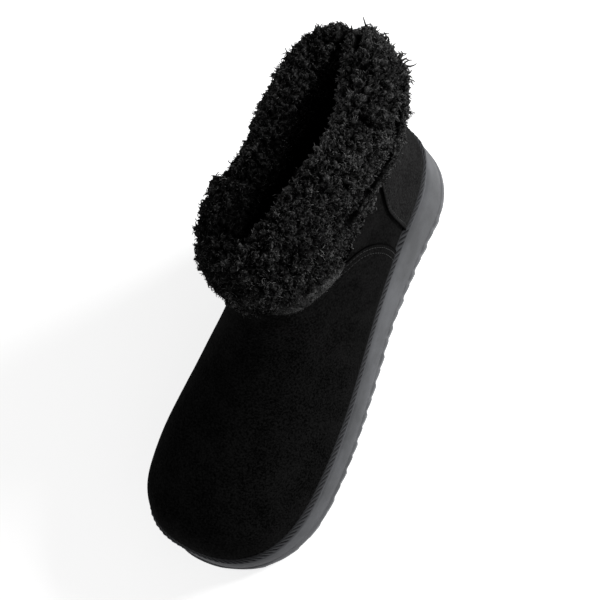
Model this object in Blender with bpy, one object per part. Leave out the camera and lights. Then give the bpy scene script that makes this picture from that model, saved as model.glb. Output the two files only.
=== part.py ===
"""Left ankle boot with a turned-down fleece cuff, built from seven closed pieces.

Lengths are millimetres in the tables and metres in the meshes. The toe points along +Y,
the wearer's right is +X and the floor is Z = 0. Stations along the boot are counted from
the back of the heel, and the origin lies on the floor in the middle of the boot's box.
"""
import math

import bmesh
import bpy
import numpy as np
from mathutils import Vector
from mathutils.bvhtree import BVHTree

MM = 0.001

# Driving dimensions, in millimetres.
LENGTH = 270.0
HEEL_END = 42.0
TOE_END = 56.0
TOE_POWER = 2.3
TOE_TURN = 5.0
HEEL_STACK = 34.0
FLAT_TO = 195.0
TOE_SPRING = 9.0
HEEL_BEVEL = 1.5
HEEL_BEVEL_LENGTH = 12.0
# The underside is lifted a little under the arch, round one station.
ARCH_LIFT = 1.4
ARCH_STATION = 108.0
ARCH_SPREAD = 20.0
GAP = 0.3
# Room left between a piece and the flat facets of the curved piece it lies against, and how
# far to each side of a point those facets are looked at.
FACET_ROOM = 0.95
SIDE_LOOK = 3.0
RAISE_STEP = 0.5
ORIGIN_STATION = 132.0
STATIONS = 40

# Sole outline: half widths to the lateral (-X) and medial (+X) side of a straight axis.
SOLE_OUTLINE = {
    "station": (0, 38, 62, 100, 135, 165, 190, 208, 228, 270),
    "lateral": (36.4, 36.4, 36.2, 37.8, 42.4, 46.4, 48.6, 48.8, 47.6, 44.0),
    "medial": (35.4, 35.4, 34.8, 31.8, 36.0, 42.5, 47.6, 49.2, 48.6, 45.0),
}
# Height of the platform's top edge above the floor.
SOLE_TOP = {
    "station": (0, 45, 90, 135, 175, 210, 240, 270),
    "height": (HEEL_STACK, 33.2, 28.6, 21.6, 18.2, 18.0, 20.0, 24.5),
}

OUTSOLE_PLATE = 2.6
LUG_DEPTH = 3.2
LUG_PITCH = 17.0
LUG_LENGTH = 11.0
LUG_DRAFT = 0.7
CHEVRON = 5.0
# Lines across the tread as shares of its width, and the columns between them that carry lugs.
TREAD_COLUMNS = (0.0, 0.17, 0.25, 0.5, 0.75, 0.83, 1.0)
LUG_COLUMNS = ((0,), (2, 3), (5,))
OUTSOLE_LIP = 0.3
# The tread's first and last lines, a little inside the plate's ends.
TREAD_HEEL_LINE = 0.6
TREAD_TOE_LINE = 0.3
# The midsole's wall: how far each level stands in from the outsole's edge.
MIDSOLE_WALL = {"share": (0.0, 0.12, 0.55, 1.0), "inset": (1.6, 1.2, 2.2, 5.0)}
MIDSOLE_INSET = MIDSOLE_WALL["inset"][-1]

RAND_HEIGHT = 11.0
RAND_THICK = 2.6
RAND_SHARES = (0.0, 0.2, 0.5, 1.0)
FEATHER_INSET = MIDSOLE_INSET + RAND_THICK + GAP
INSOLE_THICK = 6.0
INSOLE_CLEARANCE = 1.0
INSOLE_DISH_WIDTH = 8.0
INSOLE_DISH = 1.0

# The upper's sections, from the toe back to the collar. Each lies in a plane square to the
# side view, from a low end on the feather line or the back line to a high end on the ridge
# of the vamp or the front line. "sole" as a low height means the feather line. The widest
# place is a fraction of the way from the low end to the high end.
SECTIONS = [
    dict(name="toe edge", low=(222, "sole"), high=(263.0, 23.2), lateral=40.4, medial=41.2,
         widest=0.12, high_power=2.35, low_power=2.0, ridge=4.0, wall=4.5),
    dict(name="toe wall", low=(215, "sole"), high=(264.0, 36.0), lateral=42.2, medial=43.0,
         widest=0.20, high_power=2.35, low_power=2.0, ridge=4.2, wall=4.5),
    dict(name="toe crown", low=(204, "sole"), high=(255.0, 55.0), lateral=43.6, medial=44.6,
         widest=0.22, high_power=2.35, low_power=2.0, ridge=4.6, wall=5.0),
    dict(name="toe box", low=(190, "sole"), high=(232.0, 66.0), lateral=43.8, medial=44.6,
         widest=0.22, high_power=2.3, low_power=2.0, ridge=5.0, wall=5.5),
    dict(name="ball", low=(170, "sole"), high=(201.0, 75.0), lateral=42.6, medial=42.0,
         widest=0.22, high_power=2.2, low_power=2.0, ridge=5.5, wall=6.0),
    dict(name="vamp", low=(144, "sole"), high=(175.0, 87.0), lateral=40.0, medial=37.0,
         widest=0.24, high_power=2.1, low_power=2.0, ridge=5.5, wall=6.0),
    dict(name="instep", low=(108, "sole"), high=(155.5, 103.0), lateral=36.4, medial=32.6,
         widest=0.26, high_power=2.1, low_power=2.1, ridge=4.0, wall=6.5),
    dict(name="long heel", low=(64, "sole"), high=(144.0, 119.0), lateral=33.6, medial=31.4,
         widest=0.30, high_power=2.15, low_power=2.3, ridge=2.0, wall=7.0),
    dict(name="seat", low=(31, "sole"), high=(141.6, 126.0), lateral=32.2, medial=31.0,
         widest=0.34, high_power=2.15, low_power=2.5, ridge=1.3, wall=7.2),
    dict(name="heel turn", low=(11.5, "sole"), high=(140.0, 129.6), lateral=31.4, medial=30.6,
         widest=0.38, high_power=2.2, low_power=2.6, ridge=1.0, wall=7.4),
    dict(name="short heel", low=(FEATHER_INSET, "sole"), high=(139.0, 131.5), lateral=31.0, medial=30.4,
         widest=0.40, high_power=2.2, low_power=2.7, ridge=0.8, wall=7.5),
    dict(name="counter", low=(9.0, 62.0), high=(136.4, 139.5), lateral=29.8, medial=29.6,
         widest=0.44, high_power=2.25, low_power=2.7, ridge=0.0, wall=8.0),
    dict(name="ankle", low=(11.0, 100.0), high=(135.4, 148.0), lateral=25.6, medial=26.0,
         widest=0.48, high_power=2.3, low_power=2.4, ridge=0.0, wall=8.0),
    dict(name="collar", low=(6.0, 145.0), high=(134.6, 160.0), lateral=22.0, medial=22.0,
         widest=0.50, high_power=2.3, low_power=2.3, ridge=0.0, wall=8.0),
]
HEEL_SECTION = 10
# An empty shaft falls a little out of shape: how far the collar stands out past its oval.
COLLAR_SLACK = {
    "station": (0, 26, 58, 86, 100, 120, 140),
    "lateral": (0.0, 4.5, 2.0, 0.0, -1.0, -1.0, 0.0),
    "medial": (0.0, 2.0, -3.0, -4.5, 1.0, 1.0, 0.0),
}
SLACK_FROM = 11
SECTION_STEPS = 3
HALF_COLUMNS = 13
LEVEL_WITHIN = 14.0

CUFF_COLUMNS = 48
# Radius of the fold over the collar's edge, and the short leg inside the shaft.
CUFF_ROLL = 11.0
CUFF_ROLL_STEPS = 7
CUFF_TAIL = 16.0
CUFF_TAIL_LEAN = 1.2
CUFF_LINING = {"drop": (CUFF_TAIL, 6.0), "thick": (9.5, CUFF_ROLL)}
CUFF_ABOVE_EDGE = 2.0
# Below this drop the cuff hangs clear of the heel counter.
CUFF_LIES_FREE = 30.0
# The pile stands fuller beside the crease at the back of the collar.
CUFF_FULLNESS = {
    "station": (4, 24, 60, 110, 140),
    "lateral": (1.0, 1.42, 1.08, 0.98, 0.78),
    "medial": (1.0, 1.12, 1.0, 0.98, 0.78),
}
# The cuff's outer leg: thickness of the pile at each drop below the fold.
CUFF_FOLD = {"drop": (8.0, 18.0, 28.0, 36.0, 42.0), "thick": (10.4, 10.4, 9.6, 7.0, 4.2)}

COUNTER_THICK = 1.5
COUNTER_ABOVE_RAND = 0.6
# Front edge of the heel counter on both sides, and its top tucked under the cuff.
COUNTER_EDGE = {"height": (40, 56, 68, 80, 92, 112), "station": (57.5, 59.6, 60.3, 60.0, 57.2, 50.0)}
COUNTER_TOP = 108.0
COUNTER_ROWS = 7
COUNTER_COLUMNS = 20


def clear_scene():
    for item in list(bpy.data.objects):
        bpy.data.objects.remove(item, do_unlink=True)


def smooth_table(places, values, at):
    """Cubic Hermite curve through a table that doesn't overshoot between its rows."""
    places = np.asarray(places, float)
    values = np.asarray(values, float)
    steps = np.diff(places)
    slopes = np.diff(values) / steps
    tangents = np.zeros(len(values))
    for row in range(1, len(values) - 1):
        before, after = slopes[row - 1], slopes[row]
        if before * after > 0:
            tangents[row] = 2 * before * after / (before + after)
    tangents[0] = slopes[0]
    tangents[-1] = slopes[-1]
    at = np.clip(np.asarray(at, float), places[0], places[-1])
    row = np.clip(np.searchsorted(places, at) - 1, 0, len(steps) - 1)
    part = (at - places[row]) / steps[row]
    rest = 1 - part
    from_values = (1 + 2 * part) * rest**2 * values[row] + part**2 * (3 - 2 * part) * values[row + 1]
    from_slopes = part * rest**2 * tangents[row] - part**2 * rest * tangents[row + 1]
    return from_values + steps[row] * from_slopes


def sole_top(station):
    return smooth_table(SOLE_TOP["station"], SOLE_TOP["height"], station)


def sole_bottom(station):
    """Lowest surface: bevelled at the heel, lifted a little at the arch, sprung at the toe."""
    station = np.asarray(station, float)
    spring = TOE_SPRING * (np.clip(station - FLAT_TO, 0, None) / (LENGTH - FLAT_TO)) ** 2
    bevel = HEEL_BEVEL * np.clip(1 - station / HEEL_BEVEL_LENGTH, 0, 1) ** 2
    from_arch = (station - ARCH_STATION) / ARCH_SPREAD
    arch = ARCH_LIFT * np.exp(-(from_arch**2)) * (np.abs(from_arch) < 2)
    return spring + bevel + arch


def outline_x(station, inset):
    """Lateral and medial x of the sole's outline, moved inwards by an inset."""
    station = np.asarray(station, float)
    lateral = smooth_table(SOLE_OUTLINE["station"], SOLE_OUTLINE["lateral"], station) - inset
    medial = smooth_table(SOLE_OUTLINE["station"], SOLE_OUTLINE["medial"], station) - inset
    heel_part = np.clip((HEEL_END - station) / (HEEL_END - inset), 0, 1)
    toe_start = LENGTH - TOE_END
    toe_part = np.clip((station - toe_start) / (TOE_END - inset), 0, 1)
    ends = np.sqrt(1 - heel_part**2) * (1 - toe_part**TOE_POWER) ** (1 / TOE_POWER)
    middle = TOE_TURN * toe_part**2
    return middle - (lateral + middle) * ends, middle + (medial - middle) * ends


def outline_ring(inset, height):
    """One closed ring of points: up the lateral side from heel to toe, back down the medial."""
    turn = np.linspace(0, math.pi, STATIONS)
    station = inset + (LENGTH - 2 * inset) * (1 - np.cos(turn)) / 2
    lateral, medial = outline_x(station, inset)
    up = [(x, y, z) for x, y, z in zip(lateral, station, height(station))]
    down = [(x, y, z) for x, y, z in zip(medial, station, height(station))]
    return up + down[-2:0:-1]


def to_world(point):
    return (point[0] * MM, (point[1] - ORIGIN_STATION) * MM, point[2] * MM)


def add_ring(mesh, points):
    return [mesh.verts.new(to_world(point)) for point in points]


def join_rings(mesh, first, second):
    """Quads between two closed rings of equal length."""
    count = len(first)
    for here in range(count):
        after = (here + 1) % count
        mesh.faces.new((first[here], first[after], second[after], second[here]))


def cap_outline_ring(mesh, ring):
    """Close an outline ring with strips that run straight across the boot."""
    last = STATIONS - 1
    count = len(ring)
    for row in range(last):
        corners = [ring[row], ring[row + 1], ring[(count - row - 1) % count], ring[(count - row) % count]]
        mesh.faces.new(list(dict.fromkeys(corners)))


def layered_solid(mesh, levels):
    """Closed solid through outline rings, each given as (inset, height function)."""
    rings = [add_ring(mesh, outline_ring(inset, height)) for inset, height in levels]
    for lower, upper in zip(rings, rings[1:]):
        join_rings(mesh, lower, upper)
    cap_outline_ring(mesh, rings[0])
    cap_outline_ring(mesh, rings[-1])


def finish_piece(name, mesh, colour, roughness, sharp_angle=35.0):
    """Turn a bmesh into a named object with its own material."""
    bmesh.ops.recalc_face_normals(mesh, faces=mesh.faces)
    data = bpy.data.meshes.new(name)
    mesh.to_mesh(data)
    mesh.free()
    data.shade_smooth()
    data.set_sharp_from_angle(angle=math.radians(sharp_angle))
    piece = bpy.data.objects.new(name, data)
    bpy.context.collection.objects.link(piece)
    material = bpy.data.materials.new(name)
    material.use_nodes = True
    shader = material.node_tree.nodes["Principled BSDF"]
    shader.inputs["Base Color"].default_value = (*colour, 1)
    shader.inputs["Roughness"].default_value = roughness
    shader.inputs["Metallic"].default_value = 0.0
    data.materials.append(material)
    return piece


def tread_top(station):
    return sole_bottom(station) + LUG_DEPTH + OUTSOLE_PLATE


def tread_lines():
    """Stations where the tread's grid has a line: both ends, and three to each row of lugs."""
    rows = round(LENGTH / LUG_PITCH)
    middles = LENGTH / 2 + (np.arange(rows) - (rows - 1) / 2) * LUG_PITCH
    lug_lines = np.concatenate([middles - LUG_LENGTH / 2, middles, middles + LUG_LENGTH / 2])
    heel_end = OUTSOLE_LIP
    toe_end = LENGTH - OUTSOLE_LIP
    ends = [heel_end, heel_end + TREAD_HEEL_LINE, toe_end - TREAD_TOE_LINE, toe_end]
    lines = np.sort(np.concatenate([lug_lines, ends]))
    return lines, middles


def tread_grid(mesh, lines):
    """Underside of the plate as rows of vertices, its middle column pushed on to make chevrons."""
    grid = []
    for station in lines:
        lateral, medial = (float(x) for x in outline_x(station, OUTSOLE_LIP))
        row = []
        for share in TREAD_COLUMNS:
            x = lateral + share * (medial - lateral)
            push = CHEVRON * (1 - abs(share - 0.5) * 2) * min(1, (LENGTH - station) / TOE_END)
            row.append((x, station + push, float(sole_bottom(station)) + LUG_DEPTH))
        grid.append(row)
    first = mesh.verts.new(to_world(grid[0][0]))
    last = mesh.verts.new(to_world(grid[-1][0]))
    verts = [[first] * len(TREAD_COLUMNS)]
    verts += [add_ring(mesh, row) for row in grid[1:-1]]
    verts.append([last] * len(TREAD_COLUMNS))
    return verts


def draw_down_lugs(mesh, faces_at, lines, middles):
    """Pull each lug's faces down to the tread surface, a little smaller than its root."""
    for middle in middles:
        halves = (lines[:-1] + lines[1:]) / 2
        rows = np.flatnonzero(np.abs(halves - middle) < LUG_LENGTH / 2)
        for columns in LUG_COLUMNS:
            faces = [faces_at[int(row), column] for row in rows for column in columns]
            made = bmesh.ops.extrude_face_region(mesh, geom=faces)["geom"]
            moved = [item for item in made if isinstance(item, bmesh.types.BMVert)]
            centre = sum((vert.co for vert in moved), Vector()) / len(moved)
            for vert in moved:
                inward = (centre - vert.co).to_2d().normalized() * LUG_DRAFT * MM
                vert.co += Vector((inward.x, inward.y, -LUG_DEPTH * MM))
            bmesh.ops.delete(mesh, geom=faces, context="FACES")


def make_outsole():
    """Rubber tread layer: a thin plate with rows of lugs drawn down from its underside."""
    lines, middles = tread_lines()
    mesh = bmesh.new()
    under = tread_grid(mesh, lines)
    over = []
    for station in lines:
        lateral, medial = (float(x) for x in outline_x(station, OUTSOLE_LIP))
        height = float(tread_top(station))
        pair = [mesh.verts.new(to_world((lateral, station, height)))]
        pair.append(pair[0] if station in (lines[0], lines[-1])
                    else mesh.verts.new(to_world((medial, station, height))))
        over.append(pair)
    faces_at = {}
    for row in range(len(lines) - 1):
        here, after = under[row], under[row + 1]
        for column in range(len(TREAD_COLUMNS) - 1):
            corners = [here[column], here[column + 1], after[column + 1], after[column]]
            faces_at[row, column] = mesh.faces.new(list(dict.fromkeys(corners)))
        for side, column in ((0, 0), (1, -1)):
            corners = [here[column], after[column], over[row + 1][side], over[row][side]]
            mesh.faces.new(list(dict.fromkeys(corners)))
        corners = [over[row][0], over[row + 1][0], over[row + 1][1], over[row][1]]
        mesh.faces.new(list(dict.fromkeys(corners)))
    draw_down_lugs(mesh, faces_at, lines, middles)
    return finish_piece("outsole", mesh, (0.055, 0.055, 0.057), 0.75)


def make_midsole():
    """Moulded wedge: its wall swells a little at the foot and leans in to the top edge."""
    def height(share):
        return lambda station: (1 - share) * (tread_top(station) + GAP) + share * sole_top(station)

    mesh = bmesh.new()
    levels = [(inset, height(share)) for share, inset in zip(MIDSOLE_WALL["share"], MIDSOLE_WALL["inset"])]
    layered_solid(mesh, levels)
    return finish_piece("midsole", mesh, (0.17, 0.17, 0.17), 0.6)


def make_insole():
    """Footbed, dished a little across, lying on the midsole inside the upper's wall."""
    wall = SECTIONS[HEEL_SECTION]["wall"]
    edge = FEATHER_INSET + wall + INSOLE_CLEARANCE
    mesh = bmesh.new()
    levels = [
        (edge, lambda station: sole_top(station) + GAP),
        (edge, lambda station: sole_top(station) + GAP + INSOLE_THICK),
        (edge + INSOLE_DISH_WIDTH, lambda station: sole_top(station) + GAP + INSOLE_THICK - INSOLE_DISH),
    ]
    layered_solid(mesh, levels)
    return finish_piece("insole", mesh, (0.02, 0.02, 0.02), 0.95)


def section_rows():
    """Every section after smoothing between the table's rows, as a dict of arrays."""
    rows = np.arange(len(SECTIONS))
    fine = np.linspace(0, rows[-1], rows[-1] * SECTION_STEPS + 1)
    columns = {
        "low_y": [section["low"][0] for section in SECTIONS],
        "low_z": [float(sole_top(section["low"][0])) + GAP if section["low"][1] == "sole"
                  else section["low"][1] for section in SECTIONS],
        "high_y": [section["high"][0] for section in SECTIONS],
        "high_z": [section["high"][1] for section in SECTIONS],
    }
    for key in ("lateral", "medial", "widest", "high_power", "low_power", "ridge", "wall"):
        columns[key] = [section[key] for section in SECTIONS]
    table = {key: smooth_table(rows, column, fine) for key, column in columns.items()}
    on_sole = fine <= HEEL_SECTION
    table["low_z"] = np.where(on_sole, sole_top(table["low_y"]) + GAP, table["low_z"])
    lateral, medial = outline_x(table["low_y"], FEATHER_INSET)
    table["low_lateral"] = np.where(on_sole, -lateral, 0)
    table["low_medial"] = np.where(on_sole, medial, 0)
    return table


def slack_at(table, row, side, along):
    """How far a slack collar stands out at a point, growing from the ankle up to the rim."""
    share = (row / SECTION_STEPS - SLACK_FROM) / (len(SECTIONS) - 1 - SLACK_FROM)
    station = table["low_y"][row] + along * (table["high_y"][row] - table["low_y"][row])
    middle = math.sin(math.pi * along)
    return max(share, 0) * middle * float(smooth_table(COLLAR_SLACK["station"], COLLAR_SLACK[side], station))


def section_point(table, row, around):
    """A point of the upper's outside: around runs -1 lateral low end, 0 ridge, 1 medial low end."""
    side = "lateral" if around < 0 else "medial"
    widest = table["widest"][row]
    half_width = max(table[side][row], table["low_" + side][row])
    share = abs(around)
    split = 1 - widest
    if share <= split:
        power = table["high_power"][row]
        turn = math.pi / 2 * (1 - share / split)
        along = widest + (1 - widest) * math.sin(turn) ** (2 / power)
        out = half_width * max(math.cos(turn), 0) ** (2 / power)
    else:
        power = table["low_power"][row]
        turn = math.pi / 2 * (share - split) / widest
        drop = math.sin(turn) ** (2 / power)
        closing = 1 - (table["low_" + side][row] / half_width) ** power
        along = widest * (1 - drop)
        out = half_width * max(1 - closing * drop**power, 0) ** (1 / power)
    out += slack_at(table, row, side, along)
    x = math.copysign(out, around) + table["ridge"][row] * max(along - widest, 0) / (1 - widest)
    y = table["low_y"][row] + along * (table["high_y"][row] - table["low_y"][row])
    z = table["low_z"][row] + along * (table["high_z"][row] - table["low_z"][row])
    return (x, y, z)


def upper_grid():
    """Outside points of the upper and the wall's thickness there, as rows of columns."""
    table = section_rows()
    around = np.linspace(-1, 1, 2 * HALF_COLUMNS + 1)
    points = np.array([[section_point(table, row, place) for place in around]
                       for row in range(len(table["low_y"]))])
    points[0, :, 2] = sole_top(points[0, :, 1]) + GAP
    return points, table["wall"]


def grid_normals(points):
    """Outward unit normals of a grid of points."""
    along = np.gradient(points, axis=0)
    across = np.gradient(points, axis=1)
    first_ring = HEEL_SECTION * SECTION_STEPS
    wrap = (points[first_ring:, 1] - points[first_ring:, -2]) / 2
    across[first_ring:, 0] = wrap
    across[first_ring:, -1] = wrap
    normals = np.cross(along, across)
    return normals / np.linalg.norm(normals, axis=2, keepdims=True)


def add_shell(mesh, points):
    """Faces of one side of the upper's wall; the rings past the heel close at the back."""
    first_ring = HEEL_SECTION * SECTION_STEPS
    verts = []
    for row, line in enumerate(points):
        made = [mesh.verts.new(to_world(point)) for point in line]
        if row >= first_ring:
            mesh.verts.remove(made[-1])
            made[-1] = made[0]
        verts.append(made)
    for lower, upper in zip(verts, verts[1:]):
        for column in range(len(lower) - 1):
            corners = [lower[column], lower[column + 1], upper[column + 1], upper[column]]
            mesh.faces.new(list(dict.fromkeys(corners)))
    return verts


def feather_loop(verts):
    """The shell's lower edge as one closed loop of vertices."""
    first_ring = HEEL_SECTION * SECTION_STEPS
    lateral = [verts[row][0] for row in range(first_ring, -1, -1)]
    toe = verts[0][1:-1]
    medial = [verts[row][-1] for row in range(first_ring)]
    return lateral + list(toe) + medial


def oval_spread(points):
    """Level steps that take each ring of points to the next of a family of nested ovals.

    Unlike normals, these never cross at the narrow ends of the shaft.
    """
    low = points.min(axis=-2, keepdims=True)
    high = points.max(axis=-2, keepdims=True)
    spread = (points - (low + high) / 2) / ((high - low) / 2)
    spread[..., 2] = 0
    return spread


def inner_points(points, wall):
    """The wall's inner face: level steps inwards at its two open edges, square ones between,
    and nested ovals up the shaft."""
    normals = grid_normals(points)
    above_feather = points[:, :, 2] - sole_top(points[:, :, 1]) - GAP
    normals[:, :, 2] *= np.clip(above_feather / LEVEL_WITHIN, 0, 1)
    normals /= np.linalg.norm(normals, axis=2, keepdims=True)
    section = np.arange(len(points)) / SECTION_STEPS
    shaft = np.clip((section - HEEL_SECTION) / (SLACK_FROM - HEEL_SECTION), 0, 1)[:, None, None]
    steps = (1 - shaft) * normals + shaft * oval_spread(points)
    inside = points - steps * wall[:, None, None]
    slope = sole_top(inside[:, :, 1]) - sole_top(points[:, :, 1])
    inside[:, :, 2] += slope * np.clip(1 - above_feather / LEVEL_WITHIN, 0, 1)
    return inside


def make_upper():
    """Hollow upper: suede and lining pile as one wall, open at the collar and underneath."""
    points, wall = upper_grid()
    mesh = bmesh.new()
    outside = add_shell(mesh, points)
    inside = add_shell(mesh, inner_points(points, wall))
    join_rings(mesh, feather_loop(outside), feather_loop(inside))
    join_rings(mesh, outside[-1][:-1], inside[-1][:-1])
    return finish_piece("upper", mesh, (0.012, 0.012, 0.013), 0.9, sharp_angle=60.0)


def upper_outside_tree():
    """The upper's outer surface on its own, for pieces that lie against it."""
    points, _ = upper_grid()
    mesh = bmesh.new()
    add_shell(mesh, points)
    tree = BVHTree.FromBMesh(mesh)
    mesh.free()
    return tree


def reach_upper(tree, start, outward, height):
    """Distance from a start point, level and outwards, to the upper's outer surface.

    Lines a little to each side are tried too, so that a flat piece laid over the result clears
    the surface's corners. Lines that pass just under the feather edge are raised to meet it.
    """
    far = LENGTH / 3
    inward = Vector((-outward[0], -outward[1], 0))
    for raised in np.arange(0, RAND_HEIGHT, RAISE_STEP):
        reaches = []
        for beside in (-SIDE_LOOK, 0.0, SIDE_LOOK):
            away = (start[0] + outward[0] * far - outward[1] * beside,
                    start[1] + outward[1] * far + outward[0] * beside, height + raised)
            hit = tree.ray_cast(Vector(to_world(away)), inward, 2 * far * MM)
            if hit[3] is not None:
                reaches.append(far - hit[3] / MM)
        if reaches:
            return max(reaches)
    raise ValueError(f"no upper beside {start} at height {height}")


def ring_outwards(ring):
    """Level unit vectors that point out of a closed ring of points."""
    flat = np.array(ring)[:, :2]
    along = np.roll(flat, -1, axis=0) - np.roll(flat, 1, axis=0)
    outward = np.stack([-along[:, 1], along[:, 0]], axis=1)
    return outward / np.linalg.norm(outward, axis=1, keepdims=True)


def standing_point(start, outward, away, above):
    """A point some way out from a start point, at a height measured from the platform's top."""
    station = start[1] + outward[1] * away
    return (start[0] + outward[0] * away, station, float(sole_top(station)) + GAP + above)


def make_rand(tree):
    """Rubber band round the foot of the upper, standing on the midsole's edge."""
    base = outline_ring(FEATHER_INSET, lambda station: sole_top(station) + GAP)
    outward = ring_outwards(base)
    mesh = bmesh.new()
    inner_rings = []
    outer_rings = []
    for share in RAND_SHARES:
        inner = []
        outer = []
        for point, out in zip(base, outward):
            height = point[2] + share * RAND_HEIGHT
            away = reach_upper(tree, point, out, max(height, point[2] + RAISE_STEP)) + FACET_ROOM
            inner.append(standing_point(point, out, away, share * RAND_HEIGHT))
            away += RAND_THICK - FACET_ROOM
            outer.append(standing_point(point, out, away, share * RAND_HEIGHT))
        inner_rings.append(add_ring(mesh, inner))
        outer_rings.append(add_ring(mesh, outer))
    rings = inner_rings + outer_rings[::-1]
    for first, second in zip(rings, rings[1:] + rings[:1]):
        join_rings(mesh, first, second)
    return finish_piece("rand", mesh, (0.02, 0.02, 0.021), 0.7)


def cap_band(mesh, ring):
    """Close a ring that runs out along a band's outer face and back along its inner face."""
    count = len(ring)
    for here in range(count // 2 - 1):
        mesh.faces.new((ring[here], ring[here + 1], ring[count - here - 2], ring[count - here - 1]))


def make_heel_counter(tree):
    """Second layer of suede round the back of the heel, from the rand up under the cuff."""
    base = np.array(outline_ring(FEATHER_INSET, lambda station: sole_top(station) + GAP))
    base = np.vstack([base[STATIONS:], base[:STATIONS]])
    outward = ring_outwards(base)
    travelled = np.concatenate([[0], np.cumsum(np.linalg.norm(np.diff(base[:, :2], axis=0), axis=1))])
    heel = int(np.argmin(base[:, 1]))
    mesh = bmesh.new()
    rings = []
    for share in np.linspace(0, 1, COUNTER_ROWS):
        foot = HEEL_STACK + GAP + RAND_HEIGHT + COUNTER_ABOVE_RAND
        height = foot + share * (COUNTER_TOP - foot)
        edge = float(smooth_table(COUNTER_EDGE["height"], COUNTER_EDGE["station"], height))
        medial = np.interp(edge, base[: heel + 1, 1][::-1], travelled[: heel + 1][::-1])
        lateral = np.interp(edge, base[heel:, 1], travelled[heel:])
        outer = []
        inner = []
        for place in np.linspace(medial, lateral, COUNTER_COLUMNS):
            start = [np.interp(place, travelled, base[:, axis]) for axis in (0, 1)]
            out = [np.interp(place, travelled, outward[:, axis]) for axis in (0, 1)]
            away = reach_upper(tree, start, out, height)
            away += FACET_ROOM
            inner.append((start[0] + out[0] * away, start[1] + out[1] * away, height))
            away += COUNTER_THICK
            outer.append((start[0] + out[0] * away, start[1] + out[1] * away, height))
        rings.append(add_ring(mesh, outer + inner[::-1]))
    for lower, upper in zip(rings, rings[1:]):
        join_rings(mesh, lower, upper)
    cap_band(mesh, rings[0])
    cap_band(mesh, rings[-1])
    return finish_piece("heel_counter", mesh, (0.013, 0.013, 0.014), 0.9)


def collar_loop():
    """Middle of the wall at the collar, resampled to the cuff's columns."""
    points, wall = upper_grid()
    middle = (points[-1] + inner_points(points, wall)[-1]) / 2
    travelled = np.concatenate([[0], np.cumsum(np.linalg.norm(np.diff(middle, axis=0), axis=1))])
    places = np.linspace(0, travelled[-1], CUFF_COLUMNS + 1)[:-1]
    return np.stack([np.interp(places, travelled, middle[:, axis]) for axis in range(3)], axis=1)


def reach_along(tree, point, spread, height):
    """How many millimetres of spread take a collar point out to the upper's outer surface."""
    length = math.hypot(*spread)
    return reach_upper(tree, point, spread / length, height) / length


def make_cuff(tree):
    """Fleece cuff: over the collar's edge and down the outside as one thick fold."""
    loop = collar_loop()
    half_wall = SECTIONS[-1]["wall"] / 2
    mesh = bmesh.new()
    columns = []
    for point, spread in zip(loop, oval_spread(loop)[:, :2]):
        edge = point[2] + CUFF_ABOVE_EDGE
        sleeve = half_wall + FACET_ROOM
        inner = [(-sleeve - CUFF_TAIL_LEAN, -CUFF_TAIL), (-sleeve, 0.0), (sleeve, 0.0)]
        lining = [(-thick, -drop) for drop, thick in zip(CUFF_LINING["drop"], CUFF_LINING["thick"])]
        side = "lateral" if point[0] < 0 else "medial"
        full = float(smooth_table(CUFF_FULLNESS["station"], CUFF_FULLNESS[side], point[1]))
        roll = []
        for turn in np.linspace(math.pi, 0, CUFF_ROLL_STEPS):
            reach = CUFF_ROLL * (full if turn < math.pi / 2 else 1)
            roll.append((reach * math.cos(turn), CUFF_ROLL * full * math.sin(turn)))
        against = []
        outside = []
        for drop, thick in zip(CUFF_FOLD["drop"], CUFF_FOLD["thick"]):
            face = max(reach_along(tree, point, spread, edge - drop), half_wall)
            room = COUNTER_THICK + 2 * GAP if drop > CUFF_LIES_FREE else 0
            against.append((face + FACET_ROOM + room, -drop))
            outside.append((face + thick * full + room, -drop))
        section = inner + against + outside[::-1] + roll[::-1] + lining[::-1]
        columns.append(add_ring(mesh, [
            (point[0] + spread[0] * away, point[1] + spread[1] * away, edge + up) for away, up in section]))
    for here, column in enumerate(columns):
        join_rings(mesh, column, columns[(here + 1) % len(columns)])
    return finish_piece("cuff", mesh, (0.016, 0.016, 0.017), 1.0, sharp_angle=70.0)


clear_scene()
make_outsole()
make_midsole()
make_insole()
make_upper()
outside_tree = upper_outside_tree()
make_rand(outside_tree)
make_heel_counter(outside_tree)
make_cuff(outside_tree)
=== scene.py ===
"""Left ankle boot: black suede, a deep curly fleece cuff turned down over the collar, and a
mid-grey platform sole. The toe points along +Y, the wearer's right is +X, the floor is Z = 0.
Sizes are in millimetres and turned to metres by MM."""
import math

import bmesh
import bpy
import numpy as np
from mathutils import Matrix, Vector, noise
from mathutils.bvhtree import BVHTree
from mathutils.kdtree import KDTree


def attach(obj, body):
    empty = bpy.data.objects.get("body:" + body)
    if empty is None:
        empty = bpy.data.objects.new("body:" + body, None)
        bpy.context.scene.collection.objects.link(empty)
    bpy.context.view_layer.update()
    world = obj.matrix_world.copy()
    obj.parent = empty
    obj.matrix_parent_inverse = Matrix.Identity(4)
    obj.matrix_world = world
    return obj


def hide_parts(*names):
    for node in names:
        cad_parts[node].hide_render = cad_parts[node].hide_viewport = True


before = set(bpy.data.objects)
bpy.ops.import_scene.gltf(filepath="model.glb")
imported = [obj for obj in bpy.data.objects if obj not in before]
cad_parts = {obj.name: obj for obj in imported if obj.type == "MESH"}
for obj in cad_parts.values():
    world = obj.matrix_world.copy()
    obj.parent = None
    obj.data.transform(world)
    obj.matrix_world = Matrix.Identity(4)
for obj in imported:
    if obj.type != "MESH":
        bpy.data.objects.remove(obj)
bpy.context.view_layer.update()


# ---- Outsole ---------------------------------------------------------------------------------
# The tread: a rubber layer pressed in a heated mould, with rows of chevron lugs underneath.
# It is cemented to the wedge above it, and its edge stands out a little as a lip.
MM = 0.001
LUG_CORNER = 0.75
LUG_PITCH = 8.5
LUG_STEP = 1.1
STEPPED_MIDDLE = -10
STEPPED_REACH = 100
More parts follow.
